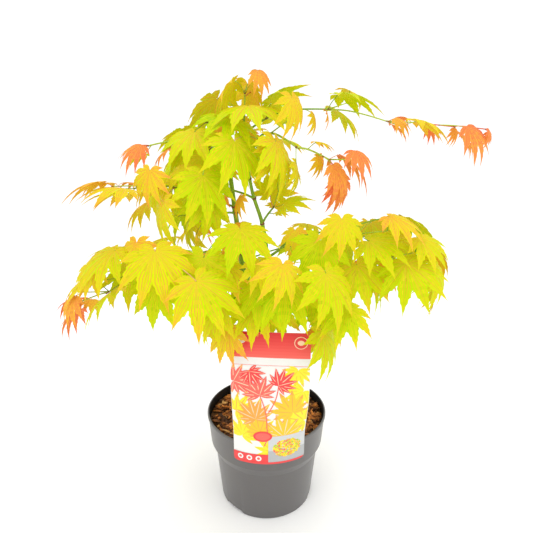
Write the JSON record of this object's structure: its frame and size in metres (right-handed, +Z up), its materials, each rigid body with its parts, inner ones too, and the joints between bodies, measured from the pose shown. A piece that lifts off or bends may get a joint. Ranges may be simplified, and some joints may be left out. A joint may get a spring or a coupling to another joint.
{
  "type": "potted japanese maple",
  "caption": "Young multi-stemmed Japanese maple with lobed leaves on arching shoots, in a round nursery pot with a tall plant label.",
  "frame": {"origin": "middle of the pot's flat underside", "axes": "+Z up, -Y the front where the label stands, +X to the right seen from the front"},
  "size_m": [0.5905, 0.3963, 0.6593],
  "materials": {
    "pot_plastic": "satin dark grey moulded plastic",
    "potting_bark": "rough bark chips",
    "label_sheet": "smooth printed plastic",
    "brown_bark": "smooth young bark",
    "green_bark": "smooth green bark",
    "leaves": "thin satin yellow-green leaves",
    "young_leaves": "thin satin amber and coral leaves"
  },
  "bodies": {
    "root": {"pot": "pot_plastic", "soil": "potting_bark", "label": "label_sheet", "trunk": "brown_bark", "east_stem": "green_bark", "crest_limb": "green_bark", "low_west_limb": "green_bark", "low_east_limb": "green_bark", "mid_east_limb": "green_bark", "north_limb": "green_bark", "foliage_crest": "leaves", "foliage_west_crown": "leaves", "foliage_front_crown": "leaves", "foliage_front_heart": "leaves", "foliage_west_shoulder": "leaves", "foliage_east_spray": "young_leaves", "foliage_west_long": "young_leaves", "foliage_west_inner": "leaves", "foliage_front_middle": "leaves", "foliage_low_west": "leaves", "foliage_low_front": "leaves", "foliage_east_heart": "leaves", "foliage_low_east": "leaves", "foliage_middle_east": "leaves", "foliage_inner_east": "leaves", "foliage_north_upper": "leaves", "foliage_north_crest": "leaves", "foliage_north_west": "leaves", "foliage_north_low_west": "leaves", "foliage_north_low": "leaves"}
  },
  "joints": []
}
